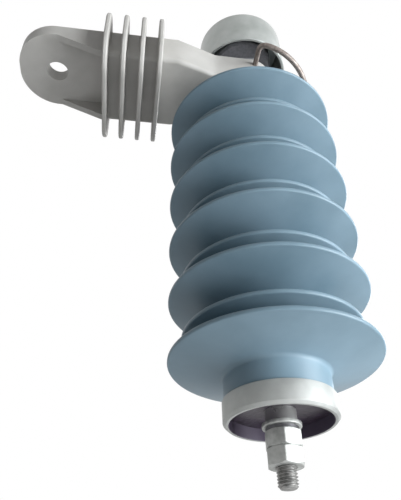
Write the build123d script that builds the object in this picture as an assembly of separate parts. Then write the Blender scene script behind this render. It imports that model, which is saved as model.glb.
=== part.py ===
from build123d import *
import os
from math import acos, atan2, cos, degrees, hypot, radians, sin, sqrt, tan

# Distribution surge arrester on an insulating bracket, hung from the bracket's
# tongue with its line terminal down. Millimetres, +Z up. The origin is the centre
# of the bracket's bolt hole, on the top face that is bolted under the crossarm.
# The bracket runs along +X to the arrester's axis.

# --- Driving dimensions ---------------------------------------------------
HOLE_TO_AXIS = 146.4        # bolt hole to the arrester's own axis

# Insulating bracket
ARM_HEIGHT = 26.0
ARM_WIDTH = 62.0
TONGUE_THICKNESS = 11.0
TONGUE_REACH = 28.0         # hole centre to the free end
TONGUE_CORNER = 20.0
BOLT_HOLE = 16.0
RIB_THICKNESS = 5.0
RIB_START = 2.0             # where the two edge ribs leave the tongue
FIN_COUNT = 4
FIN_PITCH = 12.9
FIRST_FIN = 38.0
FIN_THICKNESS = 3.6
FIN_OVERHANG = 10.2
FIN_CORNER = 14.0
FIN_EDGE = 1.1
ARM_EDGE = 4.0
ARM_END = 96.4              # where the arm starts to narrow to its boss
BOSS_RADIUS = 22.0

# Silicone housing
SHED_COUNT = 6
SHED_PITCH = 36.7
SHED_RADIUS = 57.5
SMALL_SHED_RADIUS = 50.0
SMALL_SHED_DROP = 4.5       # how far a small shed sits below mid-pitch
SHED_SLOPE = 14.4           # degrees, lower face
SHED_TOP_SLOPE = 5.5        # degrees, upper face
RIM_THICKNESS = 2.6
ROOT_FILLET = 2.5
RIM_FILLET = 1.1
TRUNK_RADIUS = 26.0
COLLAR_RADIUS = 28.2
TOP_SHED_DROP = 64.7        # top face of the bracket to the upper rim plane
COLLAR_TO_RIM = 20.0        # lowest rim plane to the end of the collar

# Active part
TUBE_OUTER = 22.0
TUBE_INNER = 19.0
DISC_COUNT = 5
DISC_RADIUS = 18.6
DISC_HEIGHT = 35.5
PLATE_HEIGHT = 1.5
SPRING_HEIGHT = 4.0
SPRING_BORE = 9.0
SPRING_LEAF = 1.0
ELECTRODE_BOSS = 8.0

# End fittings
CAP_RADIUS = 29.3
CAP_HEIGHT = 11.8
CAP_WALL = 3.0
CAP_FLOOR = 3.5
CAP_CHAMFER = 1.4
SEAL_HEIGHT = 1.6

# Threads, nuts and washers
THREAD_RADIUS = 5.0
NUT_ACROSS_FLATS = 17.0
NUT_HEIGHT = 8.4
NUT_CHAMFER = 30.0          # degrees
WASHER_RADIUS = 10.0
WASHER_HEIGHT = 2.0
SPRING_WASHER_RADIUS = 8.4
SPRING_WASHER_HEIGHT = 1.8
SPRING_WASHER_SLIT = 1.2
SPRING_WASHER_LEAN = 25.0   # degrees
LINE_STUD_TIP = 9.6         # thread left showing below the outer nut
STUD_CHAMFER = 1.2
STUD_ENGAGEMENT = 14.0

# Disconnector above the boss
CUP_RADIUS = 34.0
CUP_HEIGHT = 37.0
CUP_GAP = 8.5               # boss to the open rim of the cup
CUP_WALL = 2.2
CUP_TOP = 2.6
CUP_EDGE = 2.0
INSERT_RADIUS = 24.0
INSERT_DEPTH = 10.0         # rim of the cup to the insert's face
INSERT_NECK = 9.6
INSERT_EDGE = 2.0
INSERT_THREAD = 8.0
EARTH_STUD_REACH = 22.0
EARTH_STUD_ROOT = 14.0

# Hoop round the arrester's head
HOOP_RADIUS = 46.0
HOOP_WIRE = 2.0
HOOP_DROP = 19.3
HOOP_SOCKET = 5.0

# --- Heights worked out from them -------------------------------------------
BOSS_BOTTOM = -ARM_HEIGHT
LOWEST_RIM = -TOP_SHED_DROP - (SHED_COUNT - 1) * SHED_PITCH
TUBE_BOTTOM = LOWEST_RIM - COLLAR_TO_RIM
LINE_FACE = TUBE_BOTTOM - CAP_HEIGHT
EARTH_FACE = BOSS_BOTTOM
TUBE_TOP = EARTH_FACE - CAP_HEIGHT
STACK = DISC_COUNT * DISC_HEIGHT + 2 * PLATE_HEIGHT + SPRING_HEIGHT
ELECTRODE_HEIGHT = (TUBE_TOP - TUBE_BOTTOM - STACK) / 2
ARM_START = FIRST_FIN - FIN_THICKNESS / 2
ARM_TAPER = HOLE_TO_AXIS - ARM_END
ARM_SLANT = acos(BOSS_RADIUS / hypot(ARM_TAPER, ARM_WIDTH / 2)) - atan2(ARM_TAPER, ARM_WIDTH / 2)
CUP_RIM = CUP_GAP
CUP_FACE = CUP_RIM + CUP_HEIGHT
INSERT_FACE = CUP_RIM + INSERT_DEPTH


def on_axis(x, z):
    """A point in the XZ half-plane, x from the arrester's axis."""
    return (HOLE_TO_AXIS + x, 0, z)


def turned(points):
    """Solid turned about the arrester's axis from (radius, z) points."""
    outline = Polyline([on_axis(r, z) for r, z in points], close=True)
    axis = Axis((HOLE_TO_AXIS, 0, 0), (0, 0, 1))
    return revolve(make_face(outline), axis=axis, revolution_arc=360)


def round_bar(radius, bottom, top):
    """Solid cylinder on the arrester's axis between two heights."""
    bar = Cylinder(radius, top - bottom, align=(Align.CENTER, Align.CENTER, Align.MIN))
    return Pos(HOLE_TO_AXIS, 0, bottom) * bar


def ring(outer, inner, bottom, top):
    """Plain ring on the arrester's axis between two heights."""
    return round_bar(outer, bottom, top) - round_bar(inner, bottom, top)


# --- Silicone housing -------------------------------------------------------
def shed_points(radius, rim, root):
    """Outline of one shed, from above it to below it. Its lower face is the
    steeper cone, so the shed opens upwards."""
    reach = radius - root
    upper_root = rim + RIM_THICKNESS - reach * tan(radians(SHED_TOP_SLOPE))
    lower_root = rim - reach * tan(radians(SHED_SLOPE))
    return [(root, upper_root), (radius, rim + RIM_THICKNESS), (radius, rim), (root, lower_root)]


def housing_outline():
    """(radius, z) points down the outside of the housing."""
    points = [(COLLAR_RADIUS, TUBE_TOP)]
    for i in range(SHED_COUNT):
        rim = -TOP_SHED_DROP - i * SHED_PITCH
        above, outer_top, outer_low, below = shed_points(SHED_RADIUS, rim, TRUNK_RADIUS)
        if i == 0:
            above = shed_points(SHED_RADIUS, rim, COLLAR_RADIUS)[0]
        if i == SHED_COUNT - 1:
            below = shed_points(SHED_RADIUS, rim, COLLAR_RADIUS)[3]
        points += [above, outer_top, outer_low, below]
        if i < SHED_COUNT - 1:
            middle = rim - SHED_PITCH / 2 - SMALL_SHED_DROP
            points += shed_points(SMALL_SHED_RADIUS, middle, TRUNK_RADIUS)
    points += [(COLLAR_RADIUS, TUBE_BOTTOM)]
    return points


def is_rim(edge):
    """True for the sharp outer edges of the sheds."""
    radius = edge.radius
    return min(abs(radius - SHED_RADIUS), abs(radius - SMALL_SHED_RADIUS)) < 0.01


def silicone_housing():
    """One moulding over the tube: collars, six large and five small sheds."""
    points = housing_outline()
    points += [(TUBE_OUTER, TUBE_BOTTOM), (TUBE_OUTER, TUBE_TOP)]
    body = turned(points)
    circles = body.edges().filter_by(GeomType.CIRCLE)
    roots = circles.filter_by(lambda e: abs(e.radius - TRUNK_RADIUS) < 0.01)
    body = fillet(roots, ROOT_FILLET)
    rims = body.edges().filter_by(GeomType.CIRCLE).filter_by(is_rim)
    return fillet(rims, RIM_FILLET)


# --- Active part ------------------------------------------------------------
def glass_fibre_tube():
    return ring(TUBE_OUTER, TUBE_INNER, TUBE_BOTTOM, TUBE_TOP)


def earth_electrode():
    """Aluminium end block with a boss that stands up through the end cap."""
    block = round_bar(TUBE_INNER, TUBE_TOP - ELECTRODE_HEIGHT, TUBE_TOP)
    boss = round_bar(ELECTRODE_BOSS, TUBE_TOP, EARTH_FACE)
    bore = round_bar(THREAD_RADIUS, EARTH_FACE - CAP_HEIGHT - STUD_ENGAGEMENT, EARTH_FACE)
    return block + boss - bore


def line_electrode():
    """The same end block at the line end, boss down."""
    block = round_bar(TUBE_INNER, TUBE_BOTTOM, TUBE_BOTTOM + ELECTRODE_HEIGHT)
    boss = round_bar(ELECTRODE_BOSS, LINE_FACE, TUBE_BOTTOM)
    bore = round_bar(THREAD_RADIUS, LINE_FACE, LINE_FACE + CAP_HEIGHT + STUD_ENGAGEMENT)
    return block + boss - bore


def contact_spring(top):
    """Conical spring washer that presses the discs together."""
    bottom = top - SPRING_HEIGHT
    return turned([
        (SPRING_BORE, top),
        (DISC_RADIUS, bottom + SPRING_LEAF),
        (DISC_RADIUS, bottom),
        (SPRING_BORE, top - SPRING_LEAF),
    ])


def active_part():
    """Plates, spring and varistor discs, stacked down from the earth electrode."""
    pieces = {}
    top = TUBE_TOP - ELECTRODE_HEIGHT
    pieces["contact_spring"] = contact_spring(top)
    top -= SPRING_HEIGHT
    pieces["contact_plate_earth"] = round_bar(DISC_RADIUS, top - PLATE_HEIGHT, top)
    top -= PLATE_HEIGHT
    for i in range(DISC_COUNT):
        pieces[f"varistor_disc_{i + 1}"] = round_bar(DISC_RADIUS, top - DISC_HEIGHT, top)
        top -= DISC_HEIGHT
    pieces["contact_plate_line"] = round_bar(DISC_RADIUS, top - PLATE_HEIGHT, top)
    return pieces


# --- End fittings -----------------------------------------------------------
def end_cap():
    """Turned cup with its floor at z = 0 and its open side up."""
    cup = Cylinder(CAP_RADIUS, CAP_HEIGHT, align=(Align.CENTER, Align.CENTER, Align.MIN))
    lip = cup.edges().filter_by(GeomType.CIRCLE).sort_by(Axis.Z)[-1]
    cup = chamfer(lip, CAP_CHAMFER)
    recess_height = CAP_HEIGHT - CAP_FLOOR
    recess = Cylinder(
        CAP_RADIUS - CAP_WALL, recess_height, align=(Align.CENTER, Align.CENTER, Align.MIN)
    )
    bore = Cylinder(ELECTRODE_BOSS, CAP_HEIGHT, align=(Align.CENTER, Align.CENTER, Align.MIN))
    return cup - Pos(0, 0, CAP_FLOOR) * recess - bore


def line_end_cap():
    return Pos(HOLE_TO_AXIS, 0, TUBE_BOTTOM) * Rot(180, 0, 0) * end_cap()


def earth_end_cap():
    return Pos(HOLE_TO_AXIS, 0, TUBE_TOP) * end_cap()


def end_seal(bottom):
    """Ring of black sealing compound on the floor of an end cap's recess."""
    return ring(CAP_RADIUS - CAP_WALL, ELECTRODE_BOSS, bottom, bottom + SEAL_HEIGHT)


# --- Threaded pieces ----------------------------------------------------------
def stud(bottom, top):
    """Threaded rod at its outer diameter, chamfered at both ends."""
    rod = round_bar(THREAD_RADIUS, bottom, top)
    return chamfer(rod.edges().filter_by(GeomType.CIRCLE), STUD_CHAMFER)


def hex_nut(bottom, turn):
    """Hexagon nut, both faces chamfered by a cone, turned about its thread."""
    prism = extrude(RegularPolygon(NUT_ACROSS_FLATS / 2, 6, major_radius=False), NUT_HEIGHT)
    corner = NUT_ACROSS_FLATS / sqrt(3)
    drop = (corner - NUT_ACROSS_FLATS / 2) * tan(radians(NUT_CHAMFER))
    blank = Polyline(
        (0, 0, 0),
        (NUT_ACROSS_FLATS / 2, 0, 0),
        (corner, 0, drop),
        (corner, 0, NUT_HEIGHT - drop),
        (NUT_ACROSS_FLATS / 2, 0, NUT_HEIGHT),
        (0, 0, NUT_HEIGHT),
        close=True,
    )
    envelope = revolve(make_face(blank), axis=Axis.Z, revolution_arc=360)
    bore = Cylinder(THREAD_RADIUS, NUT_HEIGHT, align=(Align.CENTER, Align.CENTER, Align.MIN))
    nut = (prism & envelope) - bore
    return Pos(HOLE_TO_AXIS, 0, bottom) * Rot(0, 0, turn) * nut


def plain_washer(bottom):
    return ring(WASHER_RADIUS, THREAD_RADIUS, bottom, bottom + WASHER_HEIGHT)


def spring_washer(bottom, turn):
    """Split washer, its gap cut across the section."""
    body = ring(SPRING_WASHER_RADIUS, THREAD_RADIUS, bottom, bottom + SPRING_WASHER_HEIGHT)
    slit = Pos(SPRING_WASHER_RADIUS / 2, 0, 0) * Box(
        SPRING_WASHER_RADIUS, SPRING_WASHER_SLIT, 4 * SPRING_WASHER_HEIGHT
    )
    middle = bottom + SPRING_WASHER_HEIGHT / 2
    return body - Pos(HOLE_TO_AXIS, 0, middle) * Rot(0, 0, turn) * Rot(SPRING_WASHER_LEAN, 0, 0) * slit


def line_terminal():
    """Stud, washers and two nuts that take the line conductor."""
    pieces = {}
    top = LINE_FACE
    pieces["line_washer"] = plain_washer(top - WASHER_HEIGHT)
    top -= WASHER_HEIGHT
    pieces["line_spring_washer"] = spring_washer(top - SPRING_WASHER_HEIGHT, 60)
    top -= SPRING_WASHER_HEIGHT
    pieces["line_nut_inner"] = hex_nut(top - NUT_HEIGHT, 8)
    top -= NUT_HEIGHT
    pieces["line_nut_outer"] = hex_nut(top - NUT_HEIGHT, 20)
    top -= NUT_HEIGHT
    root = LINE_FACE + CAP_HEIGHT + STUD_ENGAGEMENT
    pieces["line_stud"] = stud(top - LINE_STUD_TIP, root)
    return pieces


# --- Insulating bracket -------------------------------------------------------
def tongue():
    """Flat end with the bolt hole, its two free corners well rounded."""
    length = TONGUE_REACH + ARM_START + 1
    plate = Pos(-TONGUE_REACH, 0, -TONGUE_THICKNESS / 2) * Box(
        length, ARM_WIDTH, TONGUE_THICKNESS, align=(Align.MIN, Align.CENTER, Align.CENTER)
    )
    corners = plate.edges().filter_by(Axis.Z).sort_by(Axis.X)[:2]
    return fillet(corners, TONGUE_CORNER)


def edge_rib(side):
    """Rib that deepens from the tongue to the arm along one edge."""
    outline = Polyline(
        (RIB_START, 0, -TONGUE_THICKNESS),
        (ARM_START, 0, -ARM_HEIGHT),
        (ARM_START + 1, 0, -ARM_HEIGHT),
        (ARM_START + 1, 0, -TONGUE_THICKNESS + 1),
        (RIB_START, 0, -TONGUE_THICKNESS + 1),
        close=True,
    )
    rib = extrude(make_face(outline), amount=RIB_THICKNESS / 2, both=True, dir=(0, 1, 0))
    return Pos(0, side * (ARM_WIDTH - RIB_THICKNESS) / 2, 0) * rib


def arm():
    """Solid arm, narrowing to a round boss on the arrester's axis."""
    half = ARM_WIDTH / 2
    touch = (HOLE_TO_AXIS + BOSS_RADIUS * sin(ARM_SLANT), BOSS_RADIUS * cos(ARM_SLANT))
    outline = Polyline(
        (ARM_START, half),
        (ARM_END, half),
        touch,
        (touch[0], -touch[1]),
        (ARM_END, -half),
        (ARM_START, -half),
        close=True,
    )
    plan = make_face(outline) + Pos(HOLE_TO_AXIS, 0) * Circle(BOSS_RADIUS)
    return extrude(plan, amount=-ARM_HEIGHT)


def fin(x):
    """Thin skirt that stands out round the arm."""
    width = ARM_WIDTH + 2 * FIN_OVERHANG
    height = ARM_HEIGHT + 2 * FIN_OVERHANG
    plane = Plane(origin=(x, 0, -ARM_HEIGHT / 2), x_dir=(0, 1, 0), z_dir=(1, 0, 0))
    outline = plane * RectangleRounded(width, height, FIN_CORNER)
    plate = extrude(outline, amount=FIN_THICKNESS / 2, both=True)
    rims = plate.faces().filter_by(Axis.X).edges()
    return fillet(rims, FIN_EDGE)


def insulating_bracket():
    """One glass-filled moulding: tongue, ribs, arm, fins and boss."""
    body = arm()
    long_edges = body.edges().filter_by(lambda e: abs(e.center().Z + ARM_HEIGHT) < 0.01)
    long_edges = long_edges.filter_by(lambda e: e.center().X > ARM_START + 1)
    body = fillet(long_edges, ARM_EDGE)
    body += tongue() + edge_rib(1) + edge_rib(-1)
    for i in range(FIN_COUNT):
        body += fin(FIRST_FIN + i * FIN_PITCH)
    body -= Pos(0, 0, -ARM_HEIGHT) * Cylinder(BOLT_HOLE / 2, 3 * ARM_HEIGHT)
    body -= round_bar(THREAD_RADIUS, BOSS_BOTTOM, 0)
    return body - guard_hoop()


# --- Head of the arrester -----------------------------------------------------
def guard_hoop():
    """Bent wire, its two ends pressed into the sides of the arm."""
    meets_arm = 90 + degrees(acos(BOSS_RADIUS / HOOP_RADIUS) - ARM_SLANT)
    swing = meets_arm + degrees(HOOP_SOCKET / HOOP_RADIUS)
    path = Pos(HOLE_TO_AXIS, 0, -HOOP_DROP) * CenterArc((0, 0), HOOP_RADIUS, -swing, 2 * swing)
    section = Plane(origin=path @ 0, z_dir=path % 0) * Circle(HOOP_WIRE)
    return sweep(section, path=path)


def disconnector_cup():
    """Pressed aluminium cup, open below, that shields the disconnector."""
    outer = round_bar(CUP_RADIUS, CUP_RIM, CUP_FACE)
    outer = fillet(outer.edges().filter_by(GeomType.CIRCLE).sort_by(Axis.Z)[-1], CUP_EDGE)
    hollow = round_bar(CUP_RADIUS - CUP_WALL, CUP_RIM, CUP_FACE - CUP_TOP)
    bore = round_bar(THREAD_RADIUS, CUP_RIM, CUP_FACE)
    return outer - hollow - bore


def disconnector_insert():
    """Moulded block in the cup, with a neck down to the bracket nut."""
    block = round_bar(INSERT_RADIUS, INSERT_FACE, CUP_FACE - CUP_TOP)
    block = chamfer(block.edges().filter_by(GeomType.CIRCLE).sort_by(Axis.Z)[0], INSERT_EDGE)
    neck = round_bar(INSERT_NECK, WASHER_HEIGHT + NUT_HEIGHT, INSERT_FACE)
    lower_bore = round_bar(THREAD_RADIUS, WASHER_HEIGHT + NUT_HEIGHT, INSERT_FACE + INSERT_THREAD)
    upper_bore = round_bar(THREAD_RADIUS, CUP_FACE - EARTH_STUD_ROOT, CUP_FACE)
    return block + neck - lower_bore - upper_bore


def head():
    """What is stacked on the boss: washer, nut, disconnector and earth terminal."""
    pieces = {}
    pieces["bracket_stud"] = stud(TUBE_TOP - STUD_ENGAGEMENT, INSERT_FACE + INSERT_THREAD)
    pieces["bracket_washer"] = plain_washer(0)
    pieces["bracket_nut"] = hex_nut(WASHER_HEIGHT, 12)
    pieces["disconnector_cup"] = disconnector_cup()
    pieces["disconnector_insert"] = disconnector_insert()
    pieces["earth_stud"] = stud(CUP_FACE - EARTH_STUD_ROOT, CUP_FACE + EARTH_STUD_REACH)
    pieces["earth_washer"] = plain_washer(CUP_FACE)
    pieces["earth_spring_washer"] = spring_washer(CUP_FACE + WASHER_HEIGHT, 200)
    top = CUP_FACE + WASHER_HEIGHT + SPRING_WASHER_HEIGHT
    pieces["earth_nut"] = hex_nut(top, 25)
    return pieces


# --- All pieces ---------------------------------------------------------------
parts = {
    "silicone_housing": silicone_housing(),
    "glass_fibre_tube": glass_fibre_tube(),
    "earth_electrode": earth_electrode(),
    "line_electrode": line_electrode(),
    "earth_end_cap": earth_end_cap(),
    "line_end_cap": line_end_cap(),
    "earth_end_seal": end_seal(TUBE_TOP + CAP_FLOOR),
    "line_end_seal": end_seal(TUBE_BOTTOM - CAP_FLOOR - SEAL_HEIGHT),
    "insulating_bracket": insulating_bracket(),
    "guard_hoop": guard_hoop(),
}
parts |= active_part()
parts |= line_terminal()
parts |= head()

os.makedirs("parts", exist_ok=True)
for node, shape in parts.items():
    export_step(shape, f"parts/{node}.step")
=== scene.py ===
"""Looks for a distribution surge arrester on its insulating bracket.

Metres, in the part's own frame: the centre of the bracket's bolt hole is the
origin, +X runs along the bracket to the arrester's axis and +Z is up. The
arrester hangs with its line terminal down, and the camera looks up at it."""

from math import copysign, cos, hypot, pi, radians, sin, sqrt, tan

import bmesh
import bpy
from mathutils import Euler, Matrix, Vector


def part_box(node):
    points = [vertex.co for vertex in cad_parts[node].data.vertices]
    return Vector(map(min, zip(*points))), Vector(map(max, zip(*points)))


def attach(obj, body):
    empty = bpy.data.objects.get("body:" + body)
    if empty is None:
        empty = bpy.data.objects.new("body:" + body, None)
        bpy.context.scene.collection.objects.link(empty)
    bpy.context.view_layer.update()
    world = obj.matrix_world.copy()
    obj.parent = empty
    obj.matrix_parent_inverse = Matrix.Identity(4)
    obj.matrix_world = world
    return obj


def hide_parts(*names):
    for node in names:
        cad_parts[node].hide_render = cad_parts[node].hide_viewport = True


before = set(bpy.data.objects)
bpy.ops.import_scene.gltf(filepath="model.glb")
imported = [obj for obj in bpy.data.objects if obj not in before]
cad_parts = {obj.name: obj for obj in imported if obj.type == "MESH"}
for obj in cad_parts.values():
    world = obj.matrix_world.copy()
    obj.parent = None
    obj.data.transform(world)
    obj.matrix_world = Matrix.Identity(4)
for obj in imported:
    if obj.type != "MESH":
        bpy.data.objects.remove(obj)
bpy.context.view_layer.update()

# --- Silicone housing ---------------------------------------------------------
# One moulding of blue-grey silicone rubber over the glass-fibre tube: six large
# sheds with five small ones between them, all opening upwards, and a plain
# collar at each end that the metal end fittings close on.

MM = 0.001
housing_low, housing_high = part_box("silicone_housing")
axis_place = Vector(((housing_low[0] + housing_high[0]) / 2, 0.0, 0.0))

shed_radius = (housing_high[0] - housing_low[0]) / 2
small_shed_radius = shed_radius - 7.5 * MM
trunk_radius = 26.0 * MM
collar_radius = 28.2 * MM
bore_radius = 22.0 * MM
shed_count = 6
shed_pitch = 36.7 * MM
first_rim = housing_high[2] - 26.9 * MM
small_rim_drop = shed_pitch / 2 + 4.5 * MM
rim_thickness = 2.6 * MM
shed_slope = radians(14.4)
shed_top_slope = radians(5.5)
root_fillet = 2.5 * MM
rim_fillet = 1.1 * MM
collar_edge = 0.4 * MM
repeat_offset = 0.42 * shed_pitch
housing_segments = 192


def shed_corners(radius, rim, above_root, below_root):
    """Corners of one shed, from its upper root to its lower one, each with the
    radius that the mould rounds it to."""
    upper = rim + rim_thickness - (radius - above_root) * tan(shed_top_slope)
    lower = rim - (radius - below_root) * tan(shed_slope)
    return [
        (above_root, upper, root_fillet),
        (radius, rim + rim_thickness, rim_fillet),
        (radius, rim, rim_fillet),
        (below_root, lower, root_fillet),
    ]


def rounded_outline(corners, steps=5):
    """(r, z) points through the corners, each corner rounded to its radius."""
    points = []
    for i, (r, z, radius) in enumerate(corners):
        here = Vector((r, z))
        if radius == 0 or i in (0, len(corners) - 1):
            points.append(here)
            continue
        to_last = (Vector(corners[i - 1][:2]) - here).normalized()
        to_next = (Vector(corners[i + 1][:2]) - here).normalized()
        half = to_last.angle(to_next) / 2
        centre = here + (to_last + to_next).normalized() * (radius / sin(half))
        start = here + to_last * (radius / tan(half)) - centre
        turn = start.angle_signed(here + to_next * (radius / tan(half)) - centre)
        for k in range(steps + 1):
            points.append(centre + Matrix.Rotation(-turn * k / steps, 2) @ start)
    return points


def set_in_scene(name, data):
    """A mesh, lamp or camera as an object at the part's own origin."""
    piece = bpy.data.objects.new(name, data)
    bpy.context.scene.collection.objects.link(piece)
    return piece


def outline_mesh(name, points, closed=False):
    """The outline as a line of edges, radius along X and height along Y."""
    edges = [(i, i + 1) for i in range(len(points) - 1)]
    if closed:
        edges.append((len(points) - 1, 0))
    mesh = bpy.data.meshes.new(name)
    mesh.from_pydata([(p[0], p[1], 0.0) for p in points], edges, [])
    return set_in_scene(name, mesh)


def new_tree(name, sizes):
    """A geometry tree with one named input for each size that it takes."""
    tree = bpy.data.node_groups.new(name, "GeometryNodeTree")
    tree.interface.new_socket("Geometry", in_out="INPUT", socket_type="NodeSocketGeometry")
    for label, kind in sizes.items():
        tree.interface.new_socket(label, in_out="INPUT", socket_type="NodeSocket" + kind)
    tree.interface.new_socket("Geometry", in_out="OUTPUT", socket_type="NodeSocketGeometry")
    given = tree.nodes.new("NodeGroupInput")
    made = tree.nodes.new("NodeGroupOutput")
    return tree, given.outputs, made.inputs[0]


def step(tree, kind, out=0, settings=None, **sockets):
    """Adds one node, sets or links its inputs by name or number, and returns an output."""
    node = tree.nodes.new(kind)
    for key, value in (settings or {}).items():
        setattr(node, key, value)
    for key, value in sockets.items():
        label = key.replace("_", " ")
        socket = node.inputs[int(label[1:])] if label[1:].isdigit() else node.inputs[label]
        if isinstance(value, bpy.types.NodeSocket):
            tree.links.new(value, socket)
        else:
            socket.default_value = value
    return node.outputs[out]


def reckon(tree, sign, first, second=0.0, third=0.0):
    """One arithmetic node on numbers or sockets."""
    return step(tree, "ShaderNodeMath", settings={"operation": sign},
                i0=first, i1=second, i2=third)


def end_tree(tree, shape, given, made):
    """The last nodes of a tree: its geometry made real and its finish set."""
    shape = step(tree, "GeometryNodeRealizeInstances", Geometry=shape)
    shape = step(tree, "GeometryNodeSetMaterial", Geometry=shape, Material=given["Finish"])
    tree.links.new(shape, made)


def run_tree(tree, start, name, values):
    """Runs the tree on the start object and keeps the result as a plain mesh."""
    modifier = start.modifiers.new(tree.name, "NODES")
    modifier.node_group = tree
    for item in tree.interface.items_tree:
        if item.in_out == "INPUT" and item.name in values:
            modifier[item.identifier] = values[item.name]
    start.update_tag()
    seen = start.evaluated_get(bpy.context.evaluated_depsgraph_get())
    mesh = bpy.data.meshes.new_from_object(seen)
    start.modifiers.remove(modifier)
    bpy.data.objects.remove(start)
    return set_in_scene(name, mesh)


def fit_piece(piece, node, sharp=32):
    """Faces outwards, smooth except at real edges, and riding on the part."""
    shape = bmesh.new()
    shape.from_mesh(piece.data)
    bmesh.ops.remove_doubles(shape, verts=shape.verts, dist=1e-6)
    bmesh.ops.dissolve_degenerate(shape, edges=shape.edges, dist=1e-7)
    bmesh.ops.recalc_face_normals(shape, faces=shape.faces)
    shape.to_mesh(piece.data)
    shape.free()
    piece.data.shade_smooth()
    piece.data.set_sharp_from_angle(angle=radians(sharp))
    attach(piece, "root")
    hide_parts(node)


def revolve_steps(tree, line, segments, place):
    """Nodes that turn an outline of (r, z) about the arrester's own axis."""
    core = 1.0 * MM
    section = step(tree, "GeometryNodeTransform", Geometry=line,
                   Translation=(-core, 0, 0), Scale=(1, -1, 1))
    section = step(tree, "GeometryNodeMeshToCurve", Mesh=section)
    circle = step(tree, "GeometryNodeCurvePrimitiveCircle", Resolution=segments, Radius=core)
    skin = step(tree, "GeometryNodeCurveToMesh", Curve=circle, Profile_Curve=section)
    skin = step(tree, "GeometryNodeMergeByDistance", Geometry=skin, Distance=1e-6)
    return step(tree, "GeometryNodeTransform", Geometry=skin, Translation=place)


def new_finish(name, colour, roughness, metallic=0.0, specular=0.5):
    """A surface finish; what is the same all over is set on the shader itself."""
    finish = bpy.data.materials.new(name)
    finish.use_nodes = True
    finish.diffuse_color = (*colour, 1.0)
    shader = finish.node_tree.nodes["Principled BSDF"]
    shader.inputs["Base Color"].default_value = (*colour, 1.0)
    shader.inputs["Roughness"].default_value = roughness
    shader.inputs["Metallic"].default_value = metallic
    shader.inputs["Specular IOR Level"].default_value = specular
    return finish, finish.node_tree, shader


def grain(tree, size, detail=3.0, stretch=(1, 1, 1), middle=(0, 0, 0)):
    """Noise whose features are about size across, from the object's own frame."""
    place = step(tree, "ShaderNodeTexCoord", out=3)
    place = step(tree, "ShaderNodeMapping", settings={"vector_type": "TEXTURE"},
                 Vector=place, Location=middle, Scale=stretch)
    return step(tree, "ShaderNodeTexNoise", Vector=place, Scale=1 / size, Detail=detail)


def graded(tree, value, low, high, dark, light):
    """Colour that goes from dark to light as value goes from low to high."""
    ramp = tree.nodes.new("ShaderNodeValToRGB")
    ramp.color_ramp.elements[0].position = low
    ramp.color_ramp.elements[1].position = high
    ramp.color_ramp.elements[0].color = (*dark, 1.0)
    ramp.color_ramp.elements[1].color = (*light, 1.0)
    tree.links.new(value, ramp.inputs["Fac"])
    return ramp.outputs["Color"]


def mottle(tree, shader, value, low, high, dark, light):
    """The finish's own colour, graded by value."""
    tree.links.new(graded(tree, value, low, high, dark, light), shader.inputs["Base Color"])


def uneven_sheen(tree, shader, value, low, high):
    """Roughness that goes from low to high as value goes from 0.3 to 0.7."""
    node = tree.nodes.new("ShaderNodeMapRange")
    tree.links.new(value, node.inputs["Value"])
    for label, number in zip(("From Min", "From Max", "To Min", "To Max"), (0.3, 0.7, low, high)):
        node.inputs[label].default_value = number
    tree.links.new(node.outputs["Result"], shader.inputs["Roughness"])


def relief(tree, shader, height, depth, strength=1.0, under=None):
    """Bumps of that depth in metres, over those of another relief if given."""
    node = tree.nodes.new("ShaderNodeBump")
    node.inputs["Strength"].default_value = strength
    node.inputs["Distance"].default_value = depth
    tree.links.new(height, node.inputs["Height"])
    if under is not None:
        tree.links.new(under, node.inputs["Normal"])
    tree.links.new(node.outputs["Normal"], shader.inputs["Normal"])
    return node.outputs["Normal"]


silicone, tree, shader = new_finish("silicone_rubber", (0.165, 0.25, 0.31), 0.42, specular=0.42)
bloom = grain(tree, 34 * MM, detail=4.0)
speck = grain(tree, 0.9 * MM, detail=2.0)
mottle(tree, shader, bloom, 0.32, 0.68, (0.145, 0.225, 0.280), (0.190, 0.280, 0.345))
uneven_sheen(tree, shader, bloom, 0.36, 0.50)
skin_relief = relief(tree, shader, speck, 0.02 * MM, strength=0.5)
relief(tree, shader, grain(tree, 11 * MM, detail=1.0), 0.25 * MM, strength=0.35, under=skin_relief)

shed_tree, given, made = new_tree("Shed Stack", {
    "End Outline": "Object", "Repeats": "Int", "Pitch": "Float",
    "Segments": "Int", "Axis": "Vector", "Finish": "Material",
})
down = step(shed_tree, "ShaderNodeCombineXYZ", Y=reckon(shed_tree, "MULTIPLY", given["Pitch"], -1.0))
stations = step(shed_tree, "GeometryNodeMeshLine", Count=given["Repeats"], Offset=down)
repeats = step(shed_tree, "GeometryNodeInstanceOnPoints", Points=stations, Instance=given["Geometry"])
repeats = step(shed_tree, "GeometryNodeRealizeInstances", Geometry=repeats)
ends = step(shed_tree, "GeometryNodeObjectInfo", out=4, Object=given["End Outline"])
join = shed_tree.nodes.new("GeometryNodeJoinGeometry")
shed_tree.links.new(repeats, join.inputs[0])
shed_tree.links.new(ends, join.inputs[0])
loop = step(shed_tree, "GeometryNodeMergeByDistance", Geometry=join.outputs[0], Distance=1e-6)
skin = revolve_steps(shed_tree, loop, given["Segments"], given["Axis"])
end_tree(shed_tree, skin, given, made)

repeat_start = first_rim - repeat_offset
repeat_corners = [(trunk_radius, repeat_start, 0)]
repeat_corners += shed_corners(
    small_shed_radius, first_rim - small_rim_drop, trunk_radius, trunk_radius)
repeat_corners += shed_corners(
    shed_radius, first_rim - shed_pitch, trunk_radius, trunk_radius)
repeat_corners += [(trunk_radius, repeat_start - shed_pitch, 0)]

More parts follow.
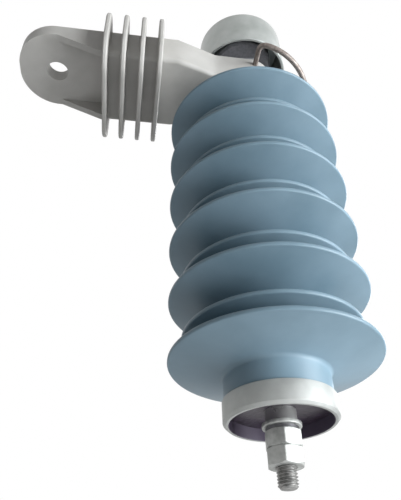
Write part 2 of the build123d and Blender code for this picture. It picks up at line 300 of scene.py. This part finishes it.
last_rim = first_rim - (shed_count - 1) * shed_pitch
end_corners = [(trunk_radius, last_rim + shed_pitch - repeat_offset, 0)]
end_corners += shed_corners(
    small_shed_radius, last_rim + shed_pitch - small_rim_drop, trunk_radius, trunk_radius)
end_corners += shed_corners(shed_radius, last_rim, trunk_radius, collar_radius)
end_corners += [
    (collar_radius, housing_low[2], collar_edge),
    (bore_radius, housing_low[2], 0),
    (bore_radius, housing_high[2], 0),
    (collar_radius, housing_high[2], collar_edge),
]
end_corners += shed_corners(shed_radius, first_rim, collar_radius, trunk_radius)
end_corners += [(trunk_radius, repeat_start, 0)]

repeat_outline = outline_mesh("shed_outline", rounded_outline(repeat_corners))
end_outline = outline_mesh("shed_end_outline", rounded_outline(end_corners))
housing = run_tree(shed_tree, repeat_outline, "housing", {
    "End Outline": end_outline, "Repeats": shed_count - 2, "Pitch": shed_pitch,
    "Segments": housing_segments, "Axis": axis_place, "Finish": silicone,
})
bpy.data.objects.remove(end_outline)
fit_piece(housing, "silicone_housing")

# --- Glass-fibre tube, varistor discs and electrodes ----------------------------
# The active part inside the housing: sintered zinc-oxide discs with sprayed
# metal faces, stacked between plates and aluminium electrodes in a wound tube.
# Their solids already have the true shape and only take a finish each.


def coat(node, finish):
    """Gives one of the part's own solids its finish."""
    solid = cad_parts[node]
    for place in solid.material_slots:
        place.material = finish


glass_fibre, tree, shader = new_finish("wound_glass_fibre", (0.50, 0.46, 0.22), 0.38)
winding = grain(tree, 1.2 * MM, stretch=(14, 14, 1), middle=axis_place)
mottle(tree, shader, winding, 0.35, 0.65, (0.42, 0.37, 0.15), (0.60, 0.56, 0.32))
relief(tree, shader, winding, 0.05 * MM)
coat("glass_fibre_tube", glass_fibre)

zinc_oxide, tree, shader = new_finish("sintered_zinc_oxide", (0.03, 0.03, 0.034), 0.6)
pores = grain(tree, 0.6 * MM)
mottle(tree, shader, pores, 0.3, 0.7, (0.022, 0.022, 0.026), (0.05, 0.05, 0.055))
relief(tree, shader, pores, 0.03 * MM)
for i in range(1, 6):
    coat(f"varistor_disc_{i}", zinc_oxide)

turned_aluminium, tree, shader = new_finish("turned_aluminium", (0.60, 0.61, 0.60), 0.3, metallic=0.6)


def round_axis(tree):
    """Distance from the arrester's axis, and height."""
    place = step(tree, "ShaderNodeTexCoord", out=3)
    place = step(tree, "ShaderNodeVectorMath", settings={"operation": "SUBTRACT"},
                 i0=place, i1=axis_place)
    parts = tree.nodes.new("ShaderNodeSeparateXYZ")
    tree.links.new(place, parts.inputs[0])
    flat = step(tree, "ShaderNodeCombineXYZ", X=parts.outputs["X"], Y=parts.outputs["Y"])
    away = step(tree, "ShaderNodeVectorMath", out=1, settings={"operation": "LENGTH"}, i0=flat)
    return away, parts.outputs["Z"]


def lathe_marks(tree, shader, size, depth, strength=0.6):
    """Fine rings left by turning, round the walls and across the faces alike."""
    away, height = round_axis(tree)
    rings = step(tree, "ShaderNodeCombineXYZ", X=away, Z=height)
    marks = step(tree, "ShaderNodeTexNoise", Vector=rings, Scale=1 / size, Detail=3.0)
    relief(tree, shader, marks, depth, strength)


lathe_marks(tree, shader, 0.7 * MM, 0.03 * MM)
handling = grain(tree, 14 * MM, detail=5.0)
mottle(tree, shader, handling, 0.35, 0.7, (0.50, 0.50, 0.49), (0.68, 0.69, 0.68))
uneven_sheen(tree, shader, handling, 0.24, 0.40)
for node in ("earth_electrode", "line_electrode", "contact_plate_earth", "contact_plate_line"):
    coat(node, turned_aluminium)

spring_steel, tree, shader = new_finish("spring_steel", (0.20, 0.20, 0.21), 0.4, metallic=1.0)
temper = grain(tree, 5 * MM)
mottle(tree, shader, temper, 0.35, 0.65, (0.15, 0.15, 0.16), (0.27, 0.27, 0.28))
relief(tree, shader, grain(tree, 0.5 * MM), 0.01 * MM)
coat("contact_spring", spring_steel)

# --- End caps and their seals ----------------------------------------------------
# Turned aluminium cups pressed on the tube's two ends. The electrode's boss stands
# in each cup's open recess, sealed round its foot with dark compound. The inside
# of the cup's wall is a dark purple with no metal: painted shade in the recess.

turned_tree, given, made = new_tree("Turned Piece", {
    "Segments": "Int", "Axis": "Vector", "Finish": "Material",
})
skin = revolve_steps(turned_tree, given["Geometry"], given["Segments"], given["Axis"])
end_tree(turned_tree, skin, given, made)


def turn_piece(name, corners, finish, segments=160):
    """A piece turned from its closed outline of (r, z, corner radius)."""
    ring = [corners[-1]] + corners + [corners[0]]
    points = rounded_outline(ring)[1:-1]
    outline = outline_mesh(name + "_outline", points, closed=True)
    return run_tree(turned_tree, outline, name, {
        "Segments": segments, "Axis": axis_place, "Finish": finish,
    })


cap_wall = 3.0 * MM
cap_floor = 3.5 * MM
cap_edge = 0.35 * MM
cap_chamfer = 1.4 * MM
cap_low, cap_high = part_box("line_end_cap")
cap_inner = (cap_high[0] - cap_low[0]) / 2 - cap_wall
boss_radius = 8.0 * MM
# Dark purple for the cup's inner wall: painted shade in the recess, not a compound.
recess_painted_shade = (0.060, 0.046, 0.076)

cap_finish, tree, shader = new_finish("cap_aluminium", (0.36, 0.37, 0.36), 0.36)
lathe_marks(tree, shader, 0.9 * MM, 0.03 * MM)
dulled = grain(tree, 16 * MM, detail=5.0)
away, height = round_axis(tree)
# Inside the wall the cup takes the painted shade colour and loses its metal.
outside = reckon(tree, "GREATER_THAN", away, cap_inner + 0.2 * MM)
bare = graded(tree, dulled, 0.35, 0.7, (0.32, 0.33, 0.32), (0.44, 0.45, 0.44))
cap_colour = step(tree, "ShaderNodeMix", out=2, settings={"data_type": "RGBA"},
                  i0=outside, i6=(*recess_painted_shade, 1.0), i7=bare)
tree.links.new(cap_colour, shader.inputs["Base Color"])
tree.links.new(reckon(tree, "MULTIPLY", outside, 0.5), shader.inputs["Metallic"])
uneven_sheen(tree, shader, dulled, 0.42, 0.58)

for end, side in (("line", -1), ("earth", 1)):
    low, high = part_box(end + "_end_cap")
    outer = (high[0] - low[0]) / 2
    floor_z = high[2] if side < 0 else low[2]
    mouth_z = low[2] if side < 0 else high[2]
    corners = [
        (boss_radius, floor_z, 0.2 * MM),
        (outer, floor_z, cap_edge),
        (outer, mouth_z - side * cap_chamfer, cap_edge),
        (outer - cap_chamfer, mouth_z, cap_edge),
        (outer - cap_wall, mouth_z, cap_edge),
        (outer - cap_wall, floor_z + side * cap_floor, 0.8 * MM),
        (boss_radius, floor_z + side * cap_floor, 0.2 * MM),
    ]
    cap = turn_piece(end + "_cap", corners, cap_finish)
    fit_piece(cap, end + "_end_cap", sharp=50)

sealant, tree, shader = new_finish("sealing_compound", (0.025, 0.016, 0.03), 0.35)
puddle = grain(tree, 4 * MM)
mottle(tree, shader, puddle, 0.3, 0.7, (0.018, 0.012, 0.022), (0.04, 0.026, 0.046))
relief(tree, shader, puddle, 0.4 * MM)
for node in ("line_end_seal", "earth_end_seal"):
    coat(node, sealant)

# --- Studs ------------------------------------------------------------------------
# M10 steel threads: the line terminal below, the one that fixes the arrester to
# the bracket, and the earth terminal above. Rolled thread with chamfered ends.

thread_pitch = 1.5 * MM
thread_depth = 0.92 * MM
stud_chamfer = 1.2 * MM
flank_steepness = 1.35
root_flat = 0.15
points_per_turn = 49
rows_per_pitch = 10
end_rows = 3

thread_tree, given, made = new_tree("Screw Thread", {
    "Radius": "Float", "Depth": "Float", "Pitch": "Float", "Length": "Float",
    "Chamfer": "Float", "Around": "Int", "Along": "Int", "Place": "Vector",
    "Finish": "Material",
})

# The grid is rolled up: across it is the turn and along it the height. Its first
# and last rows are drawn in to the axis and close the ends.
sheet = step(thread_tree, "GeometryNodeMeshGrid", Size_X=1.0, Size_Y=1.0,
             Vertices_X=given["Around"], Vertices_Y=given["Along"])
spot = thread_tree.nodes.new("ShaderNodeSeparateXYZ")
thread_tree.links.new(step(thread_tree, "GeometryNodeInputPosition"), spot.inputs[0])
turn = reckon(thread_tree, "ADD", spot.outputs["X"], 0.5)
along = reckon(thread_tree, "ADD", spot.outputs["Y"], 0.5)
row = reckon(thread_tree, "DIVIDE", 1.0, reckon(thread_tree, "SUBTRACT", given["Along"], 1.0))
inside = reckon(thread_tree, "MINIMUM", along, reckon(thread_tree, "SUBTRACT", 1.0, along))
open_rows = reckon(thread_tree, "GREATER_THAN", inside, reckon(thread_tree, "MULTIPLY", row, 0.5))
height = reckon(thread_tree, "DIVIDE", reckon(thread_tree, "SUBTRACT", along, row),
                reckon(thread_tree, "SUBTRACT", 1.0, reckon(thread_tree, "MULTIPLY", row, 2.0)))
height = reckon(thread_tree, "MULTIPLY", reckon(
    thread_tree, "MINIMUM", reckon(thread_tree, "MAXIMUM", height, 0.0), 1.0), given["Length"])
lead = reckon(thread_tree, "FRACT", reckon(
    thread_tree, "SUBTRACT", reckon(thread_tree, "DIVIDE", height, given["Pitch"]), turn))
flank = reckon(thread_tree, "ABSOLUTE", reckon(
    thread_tree, "MULTIPLY_ADD", lead, 2.0, -1.0))
flank = reckon(thread_tree, "MINIMUM", reckon(thread_tree, "MAXIMUM", reckon(
    thread_tree, "MULTIPLY_ADD", flank, flank_steepness, -root_flat), 0.0), 1.0)
crest = reckon(thread_tree, "SUBTRACT", given["Radius"],
               reckon(thread_tree, "MULTIPLY", flank, given["Depth"]))
to_end = reckon(thread_tree, "MINIMUM", height,
                reckon(thread_tree, "SUBTRACT", given["Length"], height))
cone = reckon(thread_tree, "ADD", reckon(
    thread_tree, "SUBTRACT", given["Radius"], given["Chamfer"]), to_end)
reach = reckon(thread_tree, "MULTIPLY", reckon(thread_tree, "MINIMUM", crest, cone), open_rows)
angle = reckon(thread_tree, "MULTIPLY", turn, 2 * pi)
spun = step(thread_tree, "ShaderNodeCombineXYZ",
            X=reckon(thread_tree, "MULTIPLY", reach, reckon(thread_tree, "COSINE", angle)),
            Y=reckon(thread_tree, "MULTIPLY", reach, reckon(thread_tree, "SINE", angle)),
            Z=height)
rod = step(thread_tree, "GeometryNodeSetPosition", Geometry=sheet, Position=spun)
rod = step(thread_tree, "GeometryNodeMergeByDistance", Geometry=rod, Distance=2e-6)
rod = step(thread_tree, "GeometryNodeTransform", Geometry=rod, Translation=given["Place"])
end_tree(thread_tree, rod, given, made)

stud_steel, tree, shader = new_finish("dull_steel_thread", (0.22, 0.22, 0.215), 0.45, metallic=0.7)
tarnish = grain(tree, 2.5 * MM, detail=5.0)
mottle(tree, shader, tarnish, 0.32, 0.68, (0.15, 0.15, 0.147), (0.32, 0.315, 0.305))
uneven_sheen(tree, shader, tarnish, 0.34, 0.58)
relief(tree, shader, grain(tree, 0.3 * MM), 0.01 * MM)

for stud in ("line_stud", "bracket_stud", "earth_stud"):
    low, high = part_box(stud)
    length = high[2] - low[2]
    seed = outline_mesh(stud + "_seed", [(0, 0), (0, length)])
    rod = run_tree(thread_tree, seed, stud + "_thread", {
        "Radius": (high[0] - low[0]) / 2, "Depth": thread_depth, "Pitch": thread_pitch,
        "Length": length, "Chamfer": stud_chamfer, "Around": points_per_turn,
        "Along": end_rows + rows_per_pitch * round(length / thread_pitch),
        "Place": axis_place + Vector((0, 0, low[2])), "Finish": stud_steel,
    })
    fit_piece(rod, stud, sharp=60)

# --- Nuts and washers ---------------------------------------------------------------
# Zinc-plated M10 hexagon nuts, 17 mm across flats, chamfered on both faces, over
# plain washers and split spring washers: two nuts for the conductor at the line
# end and one for the earth lead. One more plain washer lies on the bracket's boss.

zinc_plate, tree, shader = new_finish("zinc_plated_steel", (0.44, 0.45, 0.44), 0.5, metallic=0.5)
dulling = grain(tree, 3.2 * MM, detail=5.0)
mottle(tree, shader, dulling, 0.34, 0.68, (0.34, 0.35, 0.335), (0.50, 0.51, 0.495))
uneven_sheen(tree, shader, dulling, 0.42, 0.60)
relief(tree, shader, grain(tree, 0.35 * MM), 0.012 * MM)

nut_flats = 17.0 * MM
nut_chamfer = radians(30)
nut_edge = 0.12 * MM
nut_lip = 0.02 * MM
nut_corner = 0.15 * MM
nut_face = 0.985 * nut_flats / 2
nut_bore = 4.6 * MM
nut_sink = 0.7 * MM
washer_bore = 5.0 * MM
split_washer_radius = 8.4 * MM
split_washer_bevel = 0.2 * MM
split_lift = 0.12 * MM


def wall_rings(name, rings, finish):
    """A closed ring of faces through equal rounds of points."""
    count = len(rings[0])
    mesh = bpy.data.meshes.new(name)
    faces = []
    for a in range(len(rings)):
        b = (a + 1) % len(rings)
        for i in range(count):
            j = (i + 1) % count
            faces.append((a * count + i, a * count + j, b * count + j, b * count + i))
    mesh.from_pydata([p for ring in rings for p in ring], [], faces)
    mesh.materials.append(finish)
    return set_in_scene(name, mesh)


def hexagon_radii(flats, corner, around):
    """Radii round a hexagon whose corners are cut back by that much."""
    radii = []
    for i in range(around):
        off = radians((i / around * 360 + 30) % 60 - 30)
        radii.append(min(flats / 2 / cos(off), flats / 2 / cos(radians(30)) - corner))
    return radii


def round_at(radii, heights, turn):
    """Points round the arrester's axis, one for each radius and height."""
    ring = []
    for i, (radius, height) in enumerate(zip(radii, heights)):
        angle = 2 * pi * i / len(radii) + radians(turn)
        ring.append((axis_place.x + radius * cos(angle), radius * sin(angle), height))
    return ring


def hex_nut(name, node, turn, around=144):
    """Hexagon prism cut by the two chamfer cones, with a countersunk bore."""
    low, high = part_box(node)
    bottom = low[2]
    top = high[2]
    hexagon = hexagon_radii(nut_flats, nut_corner, around)
    drop = [(r - nut_flats / 2) * tan(nut_chamfer) for r in hexagon]
    cut = [r - nut_edge for r in hexagon]
    bore = [nut_bore] * around
    sink = [nut_bore + nut_sink] * around
    face = [nut_face] * around
    rings = [
        round_at(bore, [bottom + nut_sink] * around, turn),
        round_at(sink, [bottom] * around, turn),
        round_at(face, [bottom] * around, turn),
        round_at(cut, [bottom + d + nut_lip for d in drop], turn),
        round_at(hexagon, [bottom + d + nut_edge for d in drop], turn),
        round_at(hexagon, [top - d - nut_edge for d in drop], turn),
        round_at(cut, [top - d - nut_lip for d in drop], turn),
        round_at(face, [top] * around, turn),
        round_at(sink, [top] * around, turn),
        round_at(bore, [top - nut_sink] * around, turn),
    ]
    fit_piece(wall_rings(name, rings, zinc_plate), node, sharp=24)


def plain_washer(name, node):
    """Punched washer: one edge rounded by the punch, the other left crisp."""
    low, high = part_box(node)
    outer = (high[0] - low[0]) / 2
    washer = turn_piece(name, [
        (washer_bore, low[2], 0.15 * MM), (outer, low[2], 0.5 * MM),
        (outer, high[2], 0.2 * MM), (washer_bore, high[2], 0.3 * MM),
    ], zinc_plate, segments=96)
    fit_piece(washer, node, sharp=50)


def spring_washer(name, node, turn, gap=9.0, around=120):
    """Split ring of square wire whose two cut ends spring slightly apart."""
    low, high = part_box(node)
    inner = washer_bore
    outer = split_washer_radius
    bevel = split_washer_bevel
    top = high[2] - low[2] - split_lift
    section = [(inner + bevel, 0), (outer - bevel, 0), (outer, bevel), (outer, top - bevel),
               (outer - bevel, top), (inner + bevel, top), (inner, top - bevel), (inner, bevel)]
    count = len(section)
    vertices = []
    faces = []
    for i in range(around + 1):
        angle = radians(turn + gap / 2 + (360 - gap) * i / around)
        rise = low[2] + split_lift * i / around
        for radius, z in section:
            vertices.append((axis_place.x + radius * cos(angle), radius * sin(angle), rise + z))
    for i in range(around):
        for k in range(count):
            m = (k + 1) % count
            faces.append((i * count + k, i * count + m, (i + 1) * count + m, (i + 1) * count + k))
    faces.append(tuple(range(count)))
    faces.append(tuple(around * count + k for k in range(count)))
    mesh = bpy.data.meshes.new(name)
    mesh.from_pydata(vertices, [], faces)
    mesh.materials.append(spring_steel)
    fit_piece(set_in_scene(name, mesh), node, sharp=30)


hex_nut("line_inner_nut", "line_nut_inner", 49)
hex_nut("line_outer_nut", "line_nut_outer", 45)
hex_nut("earth_terminal_nut", "earth_nut", 25)
plain_washer("line_plain_washer", "line_washer")
plain_washer("boss_washer", "bracket_washer")
plain_washer("earth_plain_washer", "earth_washer")
spring_washer("line_split_washer", "line_spring_washer", 60)
spring_washer("earth_split_washer", "earth_spring_washer", 200)

# --- Insulating bracket ---------------------------------------------------------------
# One moulding of grey glass-filled polyester: a round-ended tongue with the bolt
# hole, two edge ribs, a solid arm with four long thin fins round it, and a neck
# that leads to the boss on the arrester's axis.

bracket_low, bracket_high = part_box("insulating_bracket")
arm_height = 26.0 * MM
arm_half_width = 31.0 * MM
fin_side_reach = 15.0 * MM
fin_top_reach = 16.5 * MM
side_growth = fin_side_reach / (bracket_high[1] - arm_half_width)
top_growth = fin_top_reach / bracket_high[2]
tongue_end = -bracket_low[0]
cast_corner = 20.0 * MM
tongue_corner = 28.0 * MM
cast_taper = (96.4 * MM, 149.8 * MM)
neck = (90.0 * MM, 120.0 * MM)
boss_half_width = 21.7 * MM
neck_core = 12.0 * MM
neck_slices = 24
tongue_end_cuts = 11
hoop_low, hoop_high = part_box("guard_hoop")
hoop_wire_radius = 2.0 * MM
flat_hoop_radius = hoop_high[0] - hoop_wire_radius - axis_place.x
flat_hoop_height = (hoop_low[2] + hoop_high[2]) / 2

bracket_plastic, tree, shader = new_finish("glass_filled_polyester", (0.44, 0.43, 0.41), 0.42)
weathering = grain(tree, 26 * MM, detail=6.0)
fibres = grain(tree, 0.55 * MM, detail=3.0)
mottle(tree, shader, weathering, 0.32, 0.68, (0.39, 0.38, 0.36), (0.48, 0.47, 0.45))
uneven_sheen(tree, shader, weathering, 0.38, 0.55)
mould_skin = relief(tree, shader, fibres, 0.03 * MM, strength=0.6)
relief(tree, shader, grain(tree, 8 * MM), 0.15 * MM, strength=0.4, under=mould_skin)


def end_of_tongue(across, corner):
    """How far the tongue reaches at that place across it, for that corner radius."""
    past_flat = max(0.0, min(across, arm_half_width) - (arm_half_width - corner))
    return tongue_end - corner + sqrt(max(0.0, corner**2 - past_flat**2))


def half_arm(x, taper):
    """Half the arm's width at that place along it, for that start and end of taper."""
    done = min(1.0, max(0.0, (x - taper[0]) / (taper[1] - taper[0])))
    return arm_half_width + done * (boss_half_width - arm_half_width)


def full_grown(point):
    """Where a point of the part's bracket lies with long fins, neck and round end."""
    x, y, z = point
    across = abs(y)
    if x < 0:
        x *= end_of_tongue(across, tongue_corner) / end_of_tongue(across, cast_corner)
    if across > neck_core and neck[0] < x < cast_taper[1]:
        across *= half_arm(x, neck) / half_arm(x, cast_taper)
    past_side = max(0.0, across - arm_half_width)
    past_foot = max(0.0, -arm_height - z)
    y = copysign(across + past_side * (side_growth - 1), y)
    z += (max(0.0, z) - past_foot) * (top_growth - 1)
    return Vector((x, y, z))


def in_flat_socket(point):
    """Whether a point is on the wall of a socket that the tilted hoop doesn't use."""
    out = hypot(point.x - axis_place.x, point.y) - flat_hoop_radius
    return hypot(out, point.z - flat_hoop_height) < 1.01 * hoop_wire_radius


def grow_bracket(shape):
    """Fills the unused sockets, divides the tongue's end and the neck, moves all points."""
    socket_walls = [f for f in shape.faces if in_flat_socket(f.calc_center_median())]
    bmesh.ops.delete(shape, geom=socket_walls, context="FACES")
    bmesh.ops.holes_fill(shape, edges=[e for e in shape.edges if e.is_boundary])
    end = bracket_low[0] + 0.01 * MM
    end_edges = [e for e in shape.edges if max(v.co.x for v in e.verts) < end]
    bmesh.ops.subdivide_edges(shape, edges=end_edges, cuts=tongue_end_cuts, use_grid_fill=True)
    for i in range(neck_slices + 1):
        cut = neck[0] + (cast_taper[1] - neck[0]) * i / neck_slices
        everything = shape.verts[:] + shape.edges[:] + shape.faces[:]
        bmesh.ops.bisect_plane(
            shape, geom=everything, dist=1e-7, plane_co=(cut, 0, 0), plane_no=(1, 0, 0))
    for vertex in shape.verts:
        vertex.co = full_grown(vertex.co)


def smooth_copy(name, node, finish, rework=None):
    """The part's own solid, its loose triangles joined, as a smooth-shaded piece."""
    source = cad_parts[node].data
    mesh = bpy.data.meshes.new(name)
    mesh.from_pydata([v.co[:] for v in source.vertices], [], [p.vertices[:] for p in source.polygons])
    shape = bmesh.new()
    shape.from_mesh(mesh)
    bmesh.ops.remove_doubles(shape, verts=shape.verts, dist=2e-6)
    if rework:
        rework(shape)
    bmesh.ops.dissolve_limit(shape, angle_limit=radians(0.4), verts=shape.verts, edges=shape.edges)
    shape.to_mesh(mesh)
    shape.free()
    mesh.materials.append(finish)
    fit_piece(set_in_scene(name, mesh), node, sharp=30)


smooth_copy("bracket", "insulating_bracket", bracket_plastic, grow_bracket)

# --- Guard hoop -------------------------------------------------------------------------
# A wire loop round the arrester's head, tilted down towards the free side, its two
# ends bent inwards into the sides of the bracket's boss.

hoop_radius = 40.0 * MM
hoop_centre = 9.9 * MM
hoop_drop = 8.6 * MM
hoop_tilt = radians(19.8)
hoop_leg = 5.8 * MM
hoop_leg_root = 17.0 * MM
hoop_bend = 5.0 * MM
hoop_arc_gap = radians(2)
hoop_arc_points = 72

hoop_wire, tree, shader = new_finish("weathered_wire", (0.22, 0.19, 0.17), 0.5, metallic=0.6)
rust = grain(tree, 3 * MM, detail=5.0)
mottle(tree, shader, rust, 0.35, 0.68, (0.16, 0.13, 0.115), (0.30, 0.27, 0.25))
relief(tree, shader, rust, 0.05 * MM)

wire_tree, given, made = new_tree("Bent Wire", {
    "Wire Radius": "Float", "Place": "Vector", "Tilt": "Vector", "Finish": "Material",
})
line = step(wire_tree, "GeometryNodeMeshToCurve", Mesh=given["Geometry"])
section = step(wire_tree, "GeometryNodeCurvePrimitiveCircle", Resolution=24, Radius=given["Wire Radius"])
skin = step(wire_tree, "GeometryNodeCurveToMesh", Curve=line, Profile_Curve=section, Fill_Caps=True)
skin = step(wire_tree, "GeometryNodeTransform", Geometry=skin,
            Translation=given["Place"], Rotation=given["Tilt"])
end_tree(wire_tree, skin, given, made)

leg_side = sqrt(hoop_radius**2 - hoop_leg**2)
arc_start = pi / 2 - hoop_arc_gap
hoop_corners = [(-hoop_leg, -hoop_leg_root, 0), (-hoop_leg, -leg_side, hoop_bend)]
for i in range(hoop_arc_points + 1):
    angle = arc_start * (2 * i / hoop_arc_points - 1)
    hoop_corners.append((hoop_radius * cos(angle), hoop_radius * sin(angle), 0))
hoop_corners += [(-hoop_leg, leg_side, hoop_bend), (-hoop_leg, hoop_leg_root, 0)]
hoop = run_tree(wire_tree, outline_mesh("hoop_line", rounded_outline(hoop_corners)), "hoop", {
    "Wire Radius": hoop_wire_radius, "Tilt": (0.0, hoop_tilt, 0.0), "Finish": hoop_wire,
    "Place": (axis_place.x + hoop_centre, 0.0, -hoop_drop),
})
fit_piece(hoop, "guard_hoop", sharp=60)

# --- Disconnector under its cup ------------------------------------------------------------
# A moulded insert whose hexagonal foot is screwed down on the boss's washer, in a
# pressed aluminium cup that is open below. The cup's edges are rolled smooth.

cup_low, cup_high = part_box("disconnector_cup")
cup_radius = (cup_high[0] - cup_low[0]) / 2
cup_wall = 2.2 * MM
cup_top = 2.6 * MM
stud_bore = 5.0 * MM

pressed_aluminium, tree, shader = new_finish(
    "pressed_aluminium", (0.40, 0.42, 0.41), 0.34, metallic=0.6)
lathe_marks(tree, shader, 1.6 * MM, 0.02 * MM, strength=0.4)
patina = grain(tree, 18 * MM, detail=5.0)
mottle(tree, shader, patina, 0.33, 0.7, (0.32, 0.345, 0.33), (0.46, 0.48, 0.47))
uneven_sheen(tree, shader, patina, 0.28, 0.44)
cup = turn_piece("cup", [
    (cup_radius - cup_wall, cup_low[2], 0.6 * MM),
    (cup_radius, cup_low[2], 0.6 * MM),
    (cup_radius, cup_high[2], 2.0 * MM),
    (stud_bore, cup_high[2], 0.2 * MM),
    (stud_bore, cup_high[2] - cup_top, 0.2 * MM),
    (cup_radius - cup_wall, cup_high[2] - cup_top, 1.2 * MM),
], pressed_aluminium, segments=192)
fit_piece(cup, "disconnector_cup", sharp=50)

moulded_grey, tree, shader = new_finish("moulded_thermoset", (0.20, 0.20, 0.215), 0.35)
skin_marks = grain(tree, 2 * MM)
mottle(tree, shader, skin_marks, 0.3, 0.7, (0.17, 0.17, 0.185), (0.23, 0.23, 0.245))
relief(tree, shader, skin_marks, 0.04 * MM)
smooth_copy("disconnector_insert_copy", "disconnector_insert", moulded_grey)

foot_flats = 32.0 * MM
foot_turn = 23
foot_edge = 1.2 * MM
foot_corner = 0.5 * MM
foot_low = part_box("bracket_washer")[1][2]
foot_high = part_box("disconnector_insert")[0][2]


def foot_ring(flats, height, around=96):
    """Points of a hexagon about the axis, its corners cut back a little."""
    return round_at(hexagon_radii(flats, foot_corner, around), [height] * around, foot_turn)


foot = wall_rings("disconnector_foot", [
    foot_ring(2 * stud_bore, foot_low),
    foot_ring(foot_flats - 2 * foot_edge, foot_low),
    foot_ring(foot_flats, foot_low + foot_edge),
    foot_ring(foot_flats, foot_high),
    foot_ring(2 * stud_bore, foot_high),
], moulded_grey)
fit_piece(foot, "bracket_nut", sharp=24)

# --- Studio ------------------------------------------------------------------------------------
# A pale floor well below, a white surround, and soft lamps: the main one low on
# the right and one weaker, high behind on the right.

floor_level = -1.0
floor_half = 6.0
floor_mesh = bpy.data.meshes.new("floor")
floor_mesh.from_pydata([
    (-floor_half, -floor_half, floor_level), (floor_half, -floor_half, floor_level),
    (floor_half, floor_half, floor_level), (-floor_half, floor_half, floor_level),
], [], [(0, 1, 2, 3)])
floor = set_in_scene("floor", floor_mesh)
floor_finish, tree, shader = new_finish("studio_floor", (0.86, 0.86, 0.86), 0.9, specular=0.1)
floor_mesh.materials.append(floor_finish)


def looked_at(tree):
    """1 for rays that show the thing itself or its mirror image, 0 for its light."""
    rays = tree.nodes.new("ShaderNodeLightPath")
    return reckon(tree, "MAXIMUM", rays.outputs["Is Camera Ray"], reckon(
        tree, "MAXIMUM", rays.outputs["Is Glossy Ray"], rays.outputs["Is Transmission Ray"]))


floor_glow = 0.62
shader.inputs["Emission Color"].default_value = (1, 1, 1, 1)
tree.links.new(
    reckon(tree, "MULTIPLY", looked_at(tree), floor_glow),
    shader.inputs["Emission Strength"],
)

world = bpy.data.worlds.new("studio")
bpy.context.scene.world = world
world.use_nodes = True
surround = world.node_tree
background = surround.nodes["Background"]
fill_light = 0.15
background.inputs["Color"].default_value = (1, 1, 1, 1)
surround.links.new(
    reckon(surround, "MULTIPLY_ADD", looked_at(surround), 1.0 - fill_light, fill_light),
    background.inputs["Strength"],
)


def lamp(name, place, width, height, power, tint):
    """A soft rectangular lamp aimed at the arrester, which the camera doesn't see."""
    light = bpy.data.lights.new(name, "AREA")
    light.shape = "RECTANGLE"
    light.size = width
    light.size_y = height
    light.energy = power
    light.color = tint
    holder = set_in_scene(name, light)
    holder.location = place
    holder.rotation_euler = (lamp_aim - Vector(place)).to_track_quat("-Z", "Y").to_euler()
    holder.visible_camera = False


lamp_aim = Vector((0.12, 0.0, -0.13))
lamp("main_lamp", (1.45, -0.85, -0.42), width=1.1, height=1.3, power=58, tint=(0.95, 0.98, 1.0))
lamp("back_lamp", (0.9, 0.8, 0.5), width=0.4, height=0.8, power=8, tint=(1.0, 1.0, 1.0))

# --- Camera ---------------------------------------------------------------------------------------
# Close below the arrester and in front of it, looking up past the sheds at the
# bracket, with a slight roll. The lens is shifted a little to place the arrester
# in its frame without a change in perspective.

camera_place = Vector((0.0677, -0.2568, -0.3722))
camera_aim = Vector((0.1013, -0.0326, -0.1977))
camera_roll = radians(-1.2)
lens = bpy.data.cameras.new("camera")
lens.sensor_fit = "HORIZONTAL"
lens.sensor_width = 36.0
lens.lens = 48.25
lens.shift_x = 0.0068
lens.shift_y = -0.0078
lens.clip_start = 0.01
camera = set_in_scene("camera", lens)
camera.location = camera_place
look = (camera_aim - camera_place).to_track_quat("-Z", "Y").to_matrix()
camera.rotation_euler = (look @ Euler((0, 0, camera_roll)).to_matrix()).to_euler()
bpy.context.scene.camera = camera
bpy.context.scene.view_settings.view_transform = "Standard"
